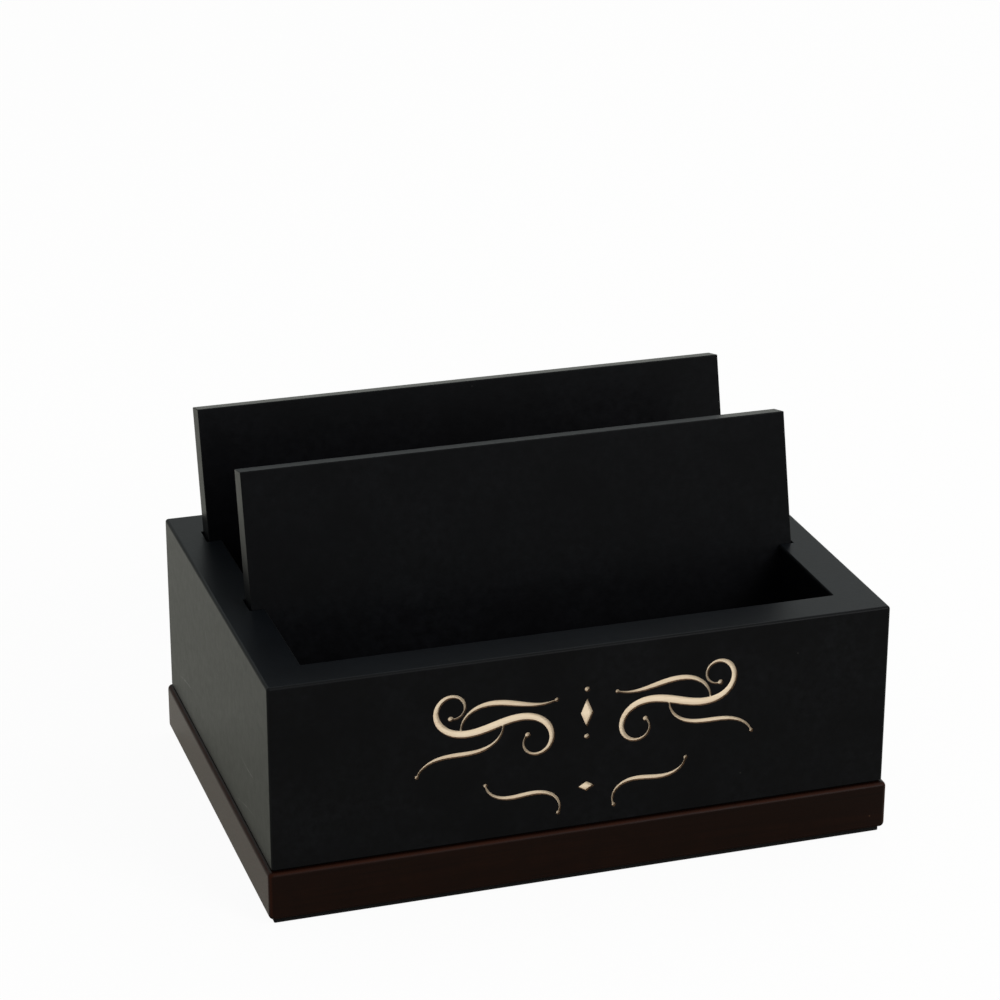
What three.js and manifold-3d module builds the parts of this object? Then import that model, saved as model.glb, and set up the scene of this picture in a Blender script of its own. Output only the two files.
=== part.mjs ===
// A desk holder for a phone and a stack of business cards.
// Four black boards make an open tray, which is screwed to a brown plinth with felt under it. Two black
// dividers lean back in slanted grooves in the end boards and lift out along them. The cards stand
// between the front board and the front divider, and the phone stands between the dividers.
// Sizes are in millimetres. +Z is up, +X runs along the front to the right, and -Y faces the user.
// The origin is on the desk, under the middle of the plinth.
import * as THREE from "three";
import { mergeVertices } from "three/addons/utils/BufferGeometryUtils.js";
import Module from "manifold-3d";

const wasm = await Module();
wasm.setup();

// Slots, measured level and at the rim of the tray
const slotLength = 101.9;
const cardSlotWidth = 25.8;
const phoneSlotWidth = 29.9;
const gapBehindRearDivider = 0.9;

// Tray boards
const boardThickness = 8.3;
const boardHeight = 36;
const outerEdgeRadius = 0.6;
const innerRimRadius = 0.4;
const footGapHeight = 0.4;
const footGapDepth = 0.5;
const cornerSoftening = 0.1;
const pocketCornerRadius = 0.05;

// Dividers and the grooves that hold them
const dividerThickness = 4.75;
const dividerTilt = 13.5;
const dividerRise = 25.75;
const dividerEdgeRadius = 0.2;
const dividerTenon = 2.7;
const grooveEndClearance = 0.4;
const grooveFaceClearance = 0.3;

// Plinth and felt
const plinthThickness = 9.5;
const plinthOverhang = 0.75;
const plinthEdgeRadius = 1;
const baseFeltThickness = 1;
const baseFeltInset = 1;
const linerThickness = 1;
const linerClearance = 0.6;

// Dowels in the corner joints
const dowelDiameter = 3;
const dowelLength = 16;
const dowelDepthInLongBoard = 5;
const dowelFromOutside = 3.25;
const dowelFromEdge = 9;
const dowelChamfer = 0.4;
const dowelSideClearance = 0.1;
const dowelEndClearance = 0.3;

// Countersunk screws that hold the plinth to the front and back boards
const screwLength = 20;
const screwThreadDiameter = 2.5;
const screwCoreDiameter = 1.8;
const screwHeadDiameter = 5;
const screwHeadRim = 0.3;
const screwPitch = 1.35;
// Where a thread rises and peaks, as shares of the pitch, and where the tip begins to taper
const screwThreadFoot = 0.4;
const screwThreadPeak = 0.7;
const screwTipShoulder = 0.2;
const screwTipLength = 3;
const screwFromEnd = 15;
const screwFromOutside = 4.6;
const screwHeadSink = 0.3;
const screwHoleClearance = 0.15;
const screwRecessWidth = 0.7;
const screwRecessSpan = 2.8;
const screwRecessDepth = 1;

// Engraving on the front board: a pair of scrolls with branches and, below them, a smaller pair. Each
// stroke is drawn on the right half and mirrored on the left. It passes its middle, at a height above the
// foot of the board, on a heading in degrees, and runs back and on from there. Its curvature is bend at
// the middle and grows by swirl for each millimetre, so that its ends curl. It is widest at the middle
// and thins to a hairline, with a round dot where a tip is given.
const engravingDepth = 0.5;
const hairline = 0.34;
const ornamentHeight = 22.9;
const lowerOrnamentHeight = 8.1;
const swellSharpness = 1.5;
const strokeSteps = 16;
const strokes = [
  {
    middle: [17.6, ornamentHeight],
    heading: -16,
    back: 24,
    on: 26,
    bend: 0,
    swirl: 0.0205,
    width: 1.6,
    tips: [0.5, 0.5],
  },
  {
    middle: [15.6, ornamentHeight + 4.2],
    heading: 10,
    back: 10,
    on: 11,
    bend: -0.05,
    swirl: -0.021,
    width: 1.15,
    tips: [0.38, 0],
  },
  {
    middle: [24.2, ornamentHeight - 4.9],
    heading: 0,
    back: 10.8,
    on: 9.2,
    bend: 0,
    swirl: -0.028,
    width: 0.95,
    tips: [0, 0.38],
  },
  {
    middle: [12.2, lowerOrnamentHeight],
    heading: -6,
    back: 10.2,
    on: 8.6,
    bend: 0,
    swirl: 0.042,
    width: 0.95,
    tips: [0.38, 0.38],
  },
];
const lozenges = [
  { height: ornamentHeight, across: 2.4, upright: 5.8 },
  { height: lowerOrnamentHeight, across: 3.2, upright: 1.9 },
];
const middleDotRadius = 0.5;
const middleDotSpacing = 4.7;

// Steps in the curved surfaces
const edgeSteps = 4;
const cornerSteps = 4;
const roundSides = 12;
// How far a cutting solid runs past the face that it opens
const cutOverrun = 1;

// Sizes and places that follow from those above. In the tray's own frame z = 0 is the foot of the boards.
const tilt = THREE.MathUtils.degToRad(dividerTilt);
const levelThickness = dividerThickness / Math.cos(tilt);
const slotsDepth = cardSlotWidth + phoneSlotWidth + 2 * levelThickness + gapBehindRearDivider;
const trayWidth = slotLength + 2 * boardThickness;
const trayDepth = slotsDepth + 2 * boardThickness;
const insideX = slotLength / 2;
const insideY = slotsDepth / 2;
const frontDividerY = -insideY + cardSlotWidth;
const rearDividerY = frontDividerY + levelThickness + phoneSlotWidth;
const plinthZ = baseFeltThickness;
const trayZ = plinthZ + plinthThickness;

const material = (name, color, roughness, metalness = 0) =>
  new THREE.MeshStandardMaterial({ name, color, roughness, metalness });
const blackLacquer = material("black_lacquer", 0x1c1d1e, 0.55);
const brownStain = material("brown_stain", 0x3f2019, 0.4);
const blackFelt = material("black_felt", 0x141414, 0.95);
const beech = material("beech", 0xd2b183, 0.7);
const zinc = material("zinc_plated_steel", 0xb9bcc0, 0.35, 1);

// A closed mesh as a solid that can be cut and joined.
function solidOf(geometry) {
  const bare = new THREE.BufferGeometry();
  bare.setAttribute("position", geometry.getAttribute("position"));
  bare.setIndex(geometry.getIndex());
  const merged = mergeVertices(bare, 1e-5);
  return new wasm.Manifold(
    new wasm.Mesh({
      numProp: 3,
      vertProperties: merged.getAttribute("position").array,
      triVerts: new Uint32Array(merged.getIndex().array),
    }),
  );
}

// The solid's surface as a geometry with a normal for each face.
function geometryOf(solid) {
  const mesh = solid.getMesh();
  const geometry = new THREE.BufferGeometry();
  geometry.setAttribute("position", new THREE.BufferAttribute(mesh.vertProperties, 3));
  geometry.setIndex(new THREE.BufferAttribute(mesh.triVerts, 1));
  const flat = geometry.toNonIndexed();
  flat.computeVertexNormals();
  return flat;
}

const boxSolid = ([x0, x1], [y0, y1], [z0, z1]) =>
  solidOf(
    new THREE.BoxGeometry(x1 - x0, y1 - y0, z1 - z0).translate((x0 + x1) / 2, (y0 + y1) / 2, (z0 + z1) / 2),
  );

function named(name, geometry, surface) {
  const mesh = new THREE.Mesh(geometry, surface);
  mesh.name = name;
  return mesh;
}

// Rings of a quarter round that eases the foot of a block. A ring is a height and how far its outline
// lies outside the block's nominal one.
function footRings(radius, z) {
  return Array.from({ length: edgeSteps + 1 }, (_, i) => {
    const turn = (i / edgeSteps) * (Math.PI / 2);
    return { z: z + radius * (1 - Math.cos(turn)), offset: -radius * (1 - Math.sin(turn)) };
  });
}

// Rings of a quarter round at the top of a block. A negative radius flares the block outwards instead,
// which makes a cutter that rounds over the rim of a pocket.
function rimRings(radius, z) {
  return Array.from({ length: edgeSteps + 1 }, (_, i) => {
    const turn = (i / edgeSteps) * (Math.PI / 2);
    return { z: z - Math.abs(radius) * (1 - Math.sin(turn)), offset: -radius * (1 - Math.cos(turn)) };
  });
}

// A closed block on a rectangle with rounded corners, lofted through rings from the bottom up.
function ringBlock(width, depth, cornerRadius, rings) {
  const positions = [];
  const index = [];
  const around = 4 * (cornerSteps + 1);
  for (const { z, offset } of rings) {
    const radius = cornerRadius + offset;
    for (let corner = 0; corner < 4; corner += 1) {
      const centreX = (corner === 0 || corner === 3 ? 1 : -1) * (width / 2 - cornerRadius);
      const centreY = (corner < 2 ? 1 : -1) * (depth / 2 - cornerRadius);
      for (let step = 0; step <= cornerSteps; step += 1) {
        const turn = ((corner + step / cornerSteps) * Math.PI) / 2;
        positions.push(centreX + radius * Math.cos(turn), centreY + radius * Math.sin(turn), z);
      }
    }
  }
  for (let ring = 0; ring + 1 < rings.length; ring += 1) {
    for (let i = 0; i < around; i += 1) {
      const a = ring * around + i;
      const b = ring * around + ((i + 1) % around);
      index.push(a, b, b + around, a, b + around, a + around);
    }
  }
  const top = (rings.length - 1) * around;
  for (let i = 1; i + 1 < around; i += 1) {
    index.push(0, i + 1, i);
    index.push(top, top + i, top + i + 1);
  }
  const geometry = new THREE.BufferGeometry();
  geometry.setAttribute("position", new THREE.Float32BufferAttribute(positions, 3));
  geometry.setIndex(index);
  return geometry;
}

// The four boards as one softened frame, before they are parted and drilled. They are cut back round the
// foot, which leaves a narrow dark gap above the plinth.
function trayFrame() {
  const outer = ringBlock(trayWidth, trayDepth, outerEdgeRadius + cornerSoftening, [
    { z: 0, offset: -footGapDepth },
    { z: footGapHeight, offset: -footGapDepth },
    { z: footGapHeight, offset: 0 },
    ...rimRings(outerEdgeRadius, boardHeight),
  ]);
  const pocket = ringBlock(slotLength, slotsDepth, pocketCornerRadius, [
    { z: -cutOverrun, offset: 0 },
    ...rimRings(-innerRimRadius, boardHeight),
    { z: boardHeight + cutOverrun, offset: innerRimRadius },
  ]);
  return solidOf(outer).subtract(solidOf(pocket));
}

// A slanted slab between two heights, widened on both faces, which cuts the groove of the divider whose
// front face crosses the rim at y.
function grooveCutter(y, [x0, x1]) {
  const low = -cutOverrun;
  const high = boardHeight + cutOverrun;
  const faceAt = (z) => y + (z - boardHeight) * Math.tan(tilt);
  const clearance = grooveFaceClearance / Math.cos(tilt);
  const profile = new THREE.Shape([
    new THREE.Vector2(faceAt(low) - clearance, low),
    new THREE.Vector2(faceAt(low) + levelThickness + clearance, low),
    new THREE.Vector2(faceAt(high) + levelThickness + clearance, high),
    new THREE.Vector2(faceAt(high) - clearance, high),
  ]);
  const slab = new THREE.ExtrudeGeometry(profile, { depth: x1 - x0, bevelEnabled: false });
  return solidOf(alongX(slab, x0));
}

// Turns a profile drawn in (y, z) and extruded along its own third axis so that it runs along +X from x0.
function alongX(geometry, x0) {
  const axes = new THREE.Matrix4().makeBasis(
    new THREE.Vector3(0, 1, 0),
    new THREE.Vector3(0, 0, 1),
    new THREE.Vector3(1, 0, 0),
  );
  return geometry.applyMatrix4(axes).translate(x0, 0, 0);
}

// Where each dowel crosses from an end board into the front or back board.
const dowelX = trayWidth / 2 - dowelFromOutside;
const dowelPlaces = [];
for (const [end, facing] of [["front", -1], ["back", 1]]) {
  for (const [side, sign] of [["left", -1], ["right", 1]]) {
    for (const [row, z] of [["lower", dowelFromEdge], ["upper", boardHeight - dowelFromEdge]]) {
      const name = `dowel_${end}_${side}_${row}`;
      dowelPlaces.push({ name, x: sign * dowelX, y: facing * insideY, z, facing });
    }
  }
}
// The middle of a dowel lies inwards of the joint, because less of it is in the front or back board.
const dowelShift = dowelLength / 2 - dowelDepthInLongBoard;

function dowelHole({ x, y, z, facing }) {
  const radius = dowelDiameter / 2 + dowelSideClearance;
  const length = dowelLength + 2 * dowelEndClearance;
  const hole = new THREE.CylinderGeometry(radius, radius, length, roundSides);
  return solidOf(hole.translate(x, y - facing * dowelShift, z));
}

function dowelGeometry() {
  const radius = dowelDiameter / 2;
  const half = dowelLength / 2;
  return new THREE.LatheGeometry(
    [
      new THREE.Vector2(0, -half),
      new THREE.Vector2(radius - dowelChamfer, -half),
      new THREE.Vector2(radius, -half + dowelChamfer),
      new THREE.Vector2(radius, half - dowelChamfer),
      new THREE.Vector2(radius - dowelChamfer, half),
      new THREE.Vector2(0, half),
    ],
    roundSides,
  );
}

// The screws' places, given from the underside of the plinth.
const screwX = trayWidth / 2 - screwFromEnd;
const screwY = trayDepth / 2 - screwFromOutside;
const screwPlaces = [];
for (const [end, facing] of [["front", -1], ["back", 1]]) {
  for (const [side, sign] of [["left", -1], ["right", 1]]) {
    screwPlaces.push({ name: `plinth_screw_${end}_${side}`, x: sign * screwX, y: facing * screwY });
  }
}
const screwConeHeight = (screwHeadDiameter - screwCoreDiameter) / 2;

// The screw's outline from its tip down to its head, with the head's face at z = 0 and the tip at the top.
function screwGeometry() {
  const core = screwCoreDiameter / 2;
  const crest = screwThreadDiameter / 2;
  const head = screwHeadDiameter / 2;
  const neck = screwHeadRim + screwConeHeight;
  const threadEnd = screwLength - screwTipLength;
  const profile = [
    new THREE.Vector2(0, 0),
    new THREE.Vector2(head, 0),
    new THREE.Vector2(head, screwHeadRim),
    new THREE.Vector2(core, neck),
  ];
  const threads = Math.floor((threadEnd - neck) / screwPitch);
  for (let i = 0; i < threads; i += 1) {
    const z = neck + i * screwPitch;
    profile.push(new THREE.Vector2(core, z + screwPitch * screwThreadFoot));
    profile.push(new THREE.Vector2(crest, z + screwPitch * screwThreadPeak));
    profile.push(new THREE.Vector2(core, z + screwPitch));
  }
  profile.push(new THREE.Vector2(core, threadEnd + screwTipLength * screwTipShoulder));
  profile.push(new THREE.Vector2(0, screwLength));
  const lathed = new THREE.LatheGeometry(profile, roundSides).rotateX(Math.PI / 2);
  const span = screwRecessSpan / 2;
  const slot = screwRecessWidth / 2;
  const depth = [-cutOverrun, screwRecessDepth];
  const across = boxSolid([-span, span], [-slot, slot], depth);
  const upright = boxSolid([-slot, slot], [-span, span], depth);
  return geometryOf(solidOf(lathed).subtract(across.add(upright)));
}

// The hole for a screw, from its sunk head up into the board above the plinth.
function screwHole({ x, y }) {
  const shaft = screwThreadDiameter / 2 + screwHoleClearance;
  const head = screwHeadDiameter / 2 + screwHoleClearance;
  const seat = screwHeadSink + screwHeadRim;
  const hole = new THREE.LatheGeometry(
    [
      new THREE.Vector2(0, -cutOverrun),
      new THREE.Vector2(head, -cutOverrun),
      new THREE.Vector2(head, seat),
      new THREE.Vector2(shaft, seat + head - shaft),
      new THREE.Vector2(shaft, screwHeadSink + screwLength + screwHoleClearance),
      new THREE.Vector2(0, screwHeadSink + screwLength + screwHoleClearance),
    ],
    roundSides,
  );
  return solidOf(hole.rotateX(Math.PI / 2).translate(x, y, 0));
}

// The points of a stroke from its middle to one end, each with its heading. A negative reach runs back.
function strokeHalf({ middle, heading, bend, swirl }, reach) {
  const step = reach / strokeSteps;
  const here = new THREE.Vector2(...middle);
  let turn = THREE.MathUtils.degToRad(heading);
  const points = [{ at: here.clone(), turn }];
  for (let i = 0; i < strokeSteps; i += 1) {
    const bendHere = (bend + swirl * (i + 0.5) * step) * step;
    const along = turn + bendHere / 2;
    here.add(new THREE.Vector2(step * Math.cos(along), step * Math.sin(along)));
    turn += bendHere;
    points.push({ at: here.clone(), turn });
  }
  return points;
}

// The closed outline of a stroke, as wide at each point as its distance from the middle leaves it.
function strokeOutline(stroke) {
  const line = [...strokeHalf(stroke, -stroke.back).reverse(), ...strokeHalf(stroke, stroke.on).slice(1)];
  const left = [];
  const right = [];
  line.forEach(({ at, turn }, i) => {
    const fromMiddle = Math.abs(i - strokeSteps) / strokeSteps;
    const swell = Math.max(Math.cos((fromMiddle * Math.PI) / 2), 0) ** swellSharpness;
    const half = (hairline + (stroke.width - hairline) * swell) / 2;
    const side = new THREE.Vector2(-Math.sin(turn), Math.cos(turn)).multiplyScalar(half);
    left.push(at.clone().add(side));
    right.push(at.clone().sub(side));
  });
  return [...left, ...right.reverse()];
}

const disc = (at, radius) =>
  new THREE.Path().absarc(at.x, at.y, radius, 0, 2 * Math.PI).getPoints(roundSides / 2);

const lozenge = ({ height, across, upright }) => [
  new THREE.Vector2(across / 2, height),
  new THREE.Vector2(0, height + upright / 2),
  new THREE.Vector2(-across / 2, height),
  new THREE.Vector2(0, height - upright / 2),
];

// Every outline of the engraving, in (x, z) on the front board.
function engravingOutlines() {
  const half = [];
  for (const stroke of strokes) {
    half.push(strokeOutline(stroke));
    const ends = [-stroke.back, stroke.on].map((reach) => strokeHalf(stroke, reach).at(-1).at);
    stroke.tips.forEach((radius, i) => {
      if (radius > 0) half.push(disc(ends[i], radius));
    });
  }
  const mirrored = half.map((outline) => outline.map(({ x, y }) => new THREE.Vector2(-x, y)));
  const dots = [middleDotSpacing, -middleDotSpacing].map((away) =>
    disc(new THREE.Vector2(0, ornamentHeight + away), middleDotRadius),
  );
  return [...half, ...mirrored, ...dots, ...lozenges.map(lozenge)];
}

function engravingCutter(outline) {
  const cutter = new THREE.ExtrudeGeometry(new THREE.Shape(outline), {
    depth: engravingDepth + cutOverrun,
    bevelEnabled: false,
  });
  return solidOf(cutter.rotateX(Math.PI / 2).translate(0, engravingDepth - trayDepth / 2, 0));
}

const cutAll = (solid, cutters) => cutters.reduce((left, cutter) => left.subtract(cutter), solid);

// The front board, or the back board where facing is 1, with its blind dowel holes and pilot holes. The
// front one is engraved.
function longBoard(frame, facing) {
  const outside = facing * (trayDepth / 2 + cutOverrun);
  const joint = facing * insideY;
  const reach = trayWidth / 2 + cutOverrun;
  const region = boxSolid(
    [-reach, reach],
    [Math.min(outside, joint), Math.max(outside, joint)],
    [-cutOverrun, boardHeight + cutOverrun],
  );
  const dowelHoles = dowelPlaces.filter((place) => place.facing === facing).map(dowelHole);
  const pilotHoles = screwPlaces
    .filter((place) => Math.sign(place.y) === facing)
    .map((place) => screwHole(place).translate(0, 0, -plinthThickness));
  const engraving = facing < 0 ? engravingOutlines().map(engravingCutter) : [];
  return geometryOf(cutAll(frame.intersect(region), [...dowelHoles, ...pilotHoles, ...engraving]));
}

// The left end board, or the right one where side is 1, with its two grooves and its dowel holes.
function endBoard(frame, side) {
  const outside = side * (trayWidth / 2 + cutOverrun);
  const inside = side * (insideX - cutOverrun);
  const region = boxSolid(
    [Math.min(outside, inside), Math.max(outside, inside)],
    [-insideY, insideY],
    [-cutOverrun, boardHeight + cutOverrun],
  );
  const grooveEnd = side * (insideX + dividerTenon + grooveEndClearance);
  const grooveSpan = [Math.min(inside, grooveEnd), Math.max(inside, grooveEnd)];
  const grooves = [frontDividerY, rearDividerY].map((y) => grooveCutter(y, grooveSpan));
  const dowelHoles = dowelPlaces.filter((place) => Math.sign(place.x) === side).map(dowelHole);
  return geometryOf(cutAll(frame.intersect(region), [...grooves, ...dowelHoles]));
}

// A divider in its own frame: y = 0 and z = 0 where its front face crosses the rim of the tray. Its
// foot is cut level, so it stands flat on the plinth, and its top is square to its faces.
function dividerGeometry() {
  const radius = dividerEdgeRadius;
  const up = new THREE.Vector2(Math.sin(tilt), Math.cos(tilt));
  const back = new THREE.Vector2(Math.cos(tilt), -Math.sin(tilt));
  const at = (height, depth) => up.clone().multiplyScalar(height).addScaledVector(back, depth);
  const footY = -boardHeight * Math.tan(tilt);
  const profile = new THREE.Shape();
  profile.moveTo(footY, -boardHeight);
  profile.lineTo(footY + levelThickness, -boardHeight);
  const rearEdge = at(dividerRise - radius, dividerThickness);
  const rearCentre = at(dividerRise - radius, dividerThickness - radius);
  profile.lineTo(rearEdge.x, rearEdge.y);
  profile.absarc(rearCentre.x, rearCentre.y, radius, -tilt, Math.PI / 2 - tilt, false);
  const frontCentre = at(dividerRise - radius, radius);
  profile.absarc(frontCentre.x, frontCentre.y, radius, Math.PI / 2 - tilt, Math.PI - tilt, false);
  profile.closePath();
  const length = slotLength + 2 * dividerTenon;
  const board = new THREE.ExtrudeGeometry(profile, {
    depth: length - 2 * radius,
    curveSegments: edgeSteps,
    bevelEnabled: true,
    bevelThickness: radius,
    bevelSize: radius / 2,
    bevelOffset: -radius / 2,
    bevelSegments: 2,
  });
  return alongX(board, -length / 2 + radius);
}

function divider(name, y) {
  const board = named(name, dividerGeometry(), blackLacquer);
  board.position.set(0, y, boardHeight);
  return board;
}

// A thin felt rectangle on the floor between two places along y.
function liner(name, y0, y1) {
  const width = slotLength - 2 * linerClearance;
  const felt = named(name, new THREE.BoxGeometry(width, y1 - y0, linerThickness), blackFelt);
  felt.position.set(0, (y0 + y1) / 2, linerThickness / 2);
  return felt;
}

function trayGroup() {
  const tray = new THREE.Group();
  tray.position.z = trayZ;
  const frame = trayFrame();
  tray.add(named("front_board", longBoard(frame, -1), blackLacquer));
  tray.add(named("back_board", longBoard(frame, 1), blackLacquer));
  tray.add(named("left_end_board", endBoard(frame, -1), blackLacquer));
  tray.add(named("right_end_board", endBoard(frame, 1), blackLacquer));
  for (const place of dowelPlaces) {
    const dowel = named(place.name, dowelGeometry(), beech);
    dowel.position.set(place.x, place.y - place.facing * dowelShift, place.z);
    tray.add(dowel);
  }
  tray.add(divider("front_divider", frontDividerY));
  tray.add(divider("rear_divider", rearDividerY));
  const lean = boardHeight * Math.tan(tilt);
  const overLiner = linerThickness * Math.tan(tilt);
  const frontDividerBack = frontDividerY - lean + levelThickness + overLiner;
  const phoneLinerEnd = rearDividerY - lean - linerClearance;
  tray.add(liner("card_slot_liner", -insideY + linerClearance, frontDividerY - lean - linerClearance));
  tray.add(liner("phone_slot_liner", frontDividerBack + linerClearance, phoneLinerEnd));
  return tray;
}

function baseGroup() {
  const base = new THREE.Group();
  base.position.z = plinthZ;
  const width = trayWidth + 2 * plinthOverhang;
  const depth = trayDepth + 2 * plinthOverhang;
  const block = ringBlock(width, depth, plinthEdgeRadius + cornerSoftening, [
    ...footRings(plinthEdgeRadius, 0),
    ...rimRings(plinthEdgeRadius, plinthThickness),
  ]);
  const drilled = cutAll(solidOf(block), screwPlaces.map(screwHole));
  base.add(named("plinth", geometryOf(drilled), brownStain));
  for (const { name, x, y } of screwPlaces) {
    const screw = named(name, screwGeometry(), zinc);
    screw.position.set(x, y, screwHeadSink);
    base.add(screw);
  }
  const feltWidth = width - 2 * baseFeltInset;
  const feltDepth = depth - 2 * baseFeltInset;
  const sheet = new THREE.BoxGeometry(feltWidth, feltDepth, baseFeltThickness);
  const felt = named("base_felt", sheet, blackFelt);
  felt.position.z = -baseFeltThickness / 2;
  base.add(felt);
  return base;
}

const holder = new THREE.Group();
holder.add(baseGroup(), trayGroup());

export default holder;
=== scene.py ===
"""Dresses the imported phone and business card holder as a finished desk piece.

The boards, dividers, plinth and felts are modelled here with fine edges, and stand in the same
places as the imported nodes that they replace. Lengths are in metres, +Z is up and -Y faces the user.
"""

import logging
import math
from dataclasses import dataclass, field, replace
from enum import Enum
from typing import Callable, Iterable, Iterator, Sequence

import bmesh
import bpy
from bmesh.types import BMEdge, BMesh, BMVert
from bpy.types import Material, Node, NodeSocket, Object
from mathutils import Matrix, Vector


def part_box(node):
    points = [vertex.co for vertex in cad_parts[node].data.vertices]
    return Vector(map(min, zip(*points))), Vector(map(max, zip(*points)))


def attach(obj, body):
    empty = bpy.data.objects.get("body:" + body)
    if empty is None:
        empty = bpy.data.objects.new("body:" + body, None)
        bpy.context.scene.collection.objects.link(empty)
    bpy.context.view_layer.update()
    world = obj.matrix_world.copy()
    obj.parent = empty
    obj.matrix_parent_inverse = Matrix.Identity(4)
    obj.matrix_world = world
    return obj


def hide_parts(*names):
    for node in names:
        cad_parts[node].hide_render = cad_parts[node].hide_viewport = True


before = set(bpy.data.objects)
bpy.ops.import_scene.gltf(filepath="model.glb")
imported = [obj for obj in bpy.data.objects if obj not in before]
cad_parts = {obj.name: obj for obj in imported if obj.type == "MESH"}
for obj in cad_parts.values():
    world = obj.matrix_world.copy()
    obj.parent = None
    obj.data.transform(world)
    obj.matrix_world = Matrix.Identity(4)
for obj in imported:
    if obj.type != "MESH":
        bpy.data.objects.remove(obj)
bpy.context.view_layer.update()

log = logging.getLogger("card_holder")

Pair = tuple[float, float]
Range = tuple[float, float]
Place = tuple[float, float, float]
Colour = tuple[float, float, float]

MM = 0.001
SLACK = 1e-6  # how far apart two places may be and still count as one
LEAN = math.radians(13.5)  # how far the dividers and their grooves lean back
DIVIDER_THICKNESS = 4.75 * MM
FLAT_TO_EASED = (0.97, 0.76)  # how squarely a flat face and an eased edge face an axis
LEAST_WEAR_AND_HIGHLIGHT = 0.45  # how strong the wear and painted highlight of an eased edge are where they are weakest
NOISE_RANGE = (0.3, 0.7)  # what most of the noise lies in
LEVEL = 0.5  # how far a face that counts as level looks up or down


class Axis(Enum):
    """The three axes, as the ways that a grain or a hole runs."""

    ALONG_FRONT = 0
    FRONT_TO_BACK = 1
    UPRIGHT = 2


class Body(Enum):
    """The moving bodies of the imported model."""

    TRAY = "tray"
    FRONT_DIVIDER = "front_divider"
    REAR_DIVIDER = "rear_divider"


class Slot(Enum):
    """Names for the material slots of the new pieces; settle takes one but doesn't use it."""

    TRAY = "tray"
    DIVIDER = "divider"
    PLINTH = "plinth"
    FELT = "felt"


class Side(Enum):
    """The side of the tray that a board stands on, as a direction in plan."""

    FRONT = (0, -1)
    BACK = (0, 1)
    LEFT = (-1, 0)
    RIGHT = (1, 0)


# Finishes


class NodeTree:
    """Lays out the nodes of one node tree."""

    def __init__(self, tree: bpy.types.NodeTree) -> None:
        """Empties the tree of a material or a world, to fill it anew."""
        self.tree = tree
        self.tree.nodes.clear()

    def add(self, kind: str, **sockets: object) -> Node:
        """Adds a node and feeds its inputs.

        Args:
            kind: The node's kind, without the ShaderNode before it.
            sockets: A value or socket for each input, by its name with _ for a space.

        Returns:
            The node.
        """
        node = self.tree.nodes.new(f"ShaderNode{kind}")
        for name, value in sockets.items():
            self.feed(node.inputs[name.replace("_", " ")], value)
        return node

    def feed(self, socket: NodeSocket, value: object) -> None:
        """Links a socket, gives it a plain value, or leaves it as it is.

        Args:
            socket: The socket to feed.
            value: Another socket, a plain value, or None.
        """
        if isinstance(value, NodeSocket):
            self.tree.links.new(value, socket)
        elif value is not None:
            socket.default_value = value

    def maths(
        self, operation: str, first: object, second: object = None, kind: str = "Math"
    ) -> NodeSocket:
        """Adds one step of arithmetic.

        Args:
            operation: The node's operation.
            first: The first value or socket.
            second: The second value or socket, where there is one.
            kind: The node's kind, as for add.

        Returns:
            The result.
        """
        node = self.add(kind)
        node.operation = operation
        self.feed(node.inputs[0], first)
        self.feed(node.inputs[1], second)
        return node.outputs["Value"]

    def blend(self, share: object, first: object, second: object) -> NodeSocket:
        """Mixes two colours.

        Args:
            share: How much of the second shows, from 0 to 1.
            first: The first colour or socket.
            second: The second colour or socket.

        Returns:
            The mixed colour.
        """
        node = self.add("Mix", Factor=share)
        node.data_type = "RGBA"
        for socket, value in ((node.inputs[6], first), (node.inputs[7], second)):
            self.feed(socket, (*value, 1.0) if isinstance(value, tuple) else value)
        return node.outputs[2]

    def layer(self, share: object, under: NodeSocket, over: NodeSocket) -> NodeSocket:
        """Lays one surface over another.

        Args:
            share: How much of the upper one shows, from 0 to 1.
            under: The lower surface.
            over: The upper surface.

        Returns:
            The mixed surface.
        """
        node = self.add("MixShader", Fac=share)
        self.feed(node.inputs[1], under)
        self.feed(node.inputs[2], over)
        return node.outputs["Shader"]


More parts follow.
